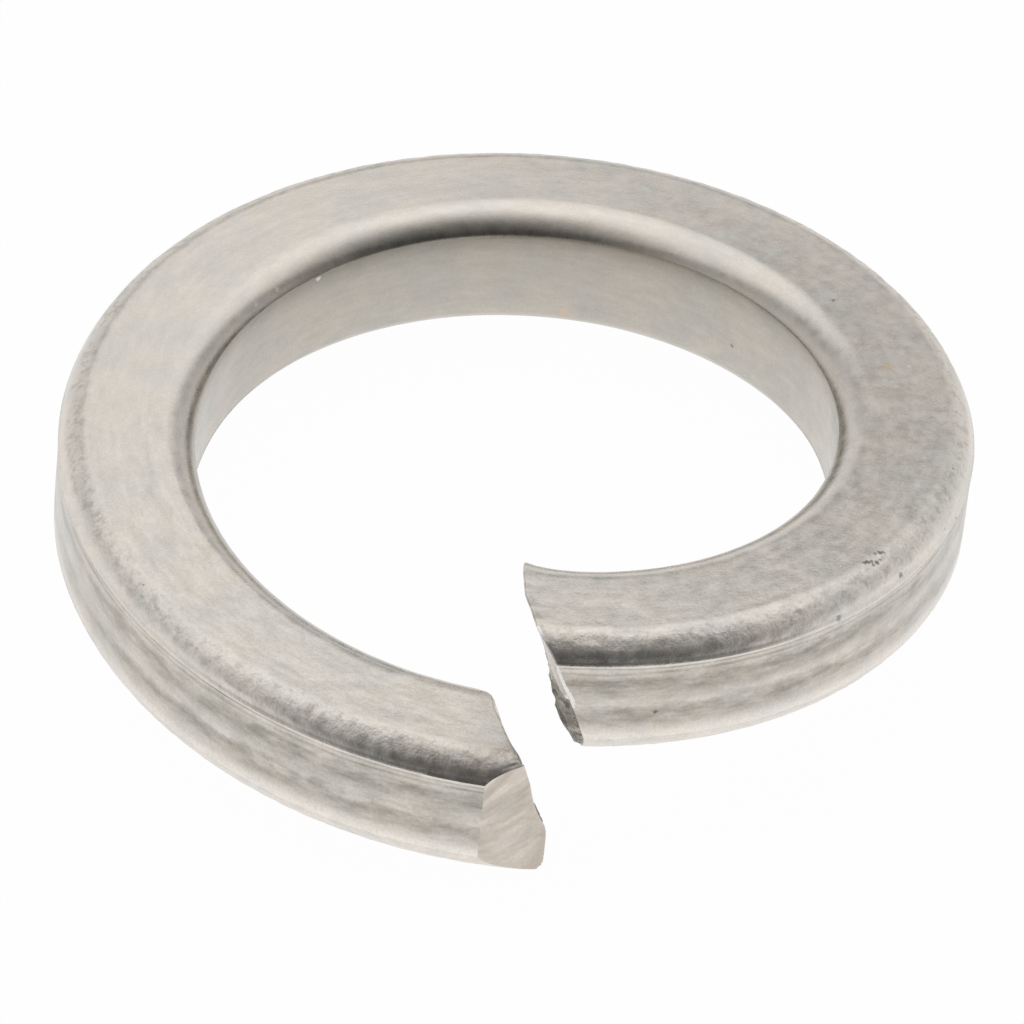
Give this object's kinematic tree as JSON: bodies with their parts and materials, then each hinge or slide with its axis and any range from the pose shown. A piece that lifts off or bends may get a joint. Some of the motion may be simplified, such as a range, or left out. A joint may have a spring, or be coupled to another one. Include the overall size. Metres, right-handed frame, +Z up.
{
  "type": "spring lock washer",
  "caption": "Split spring lock washer: square-section wire coiled one left-hand turn round a bolt hole and cut at an angle, so its ends spring apart.",
  "frame": {"origin": "on the bore axis, level with the underside of the low end", "axes": "+Z up the bore axis, -Y towards the split, +X to the right when the split is in front"},
  "size_m": [0.0176, 0.0176, 0.0057],
  "materials": {
    "wire_steel": "matt tumbled stainless spring steel, warm grey"
  },
  "bodies": {
    "root": {"lock_washer": "wire_steel"}
  },
  "joints": []
}
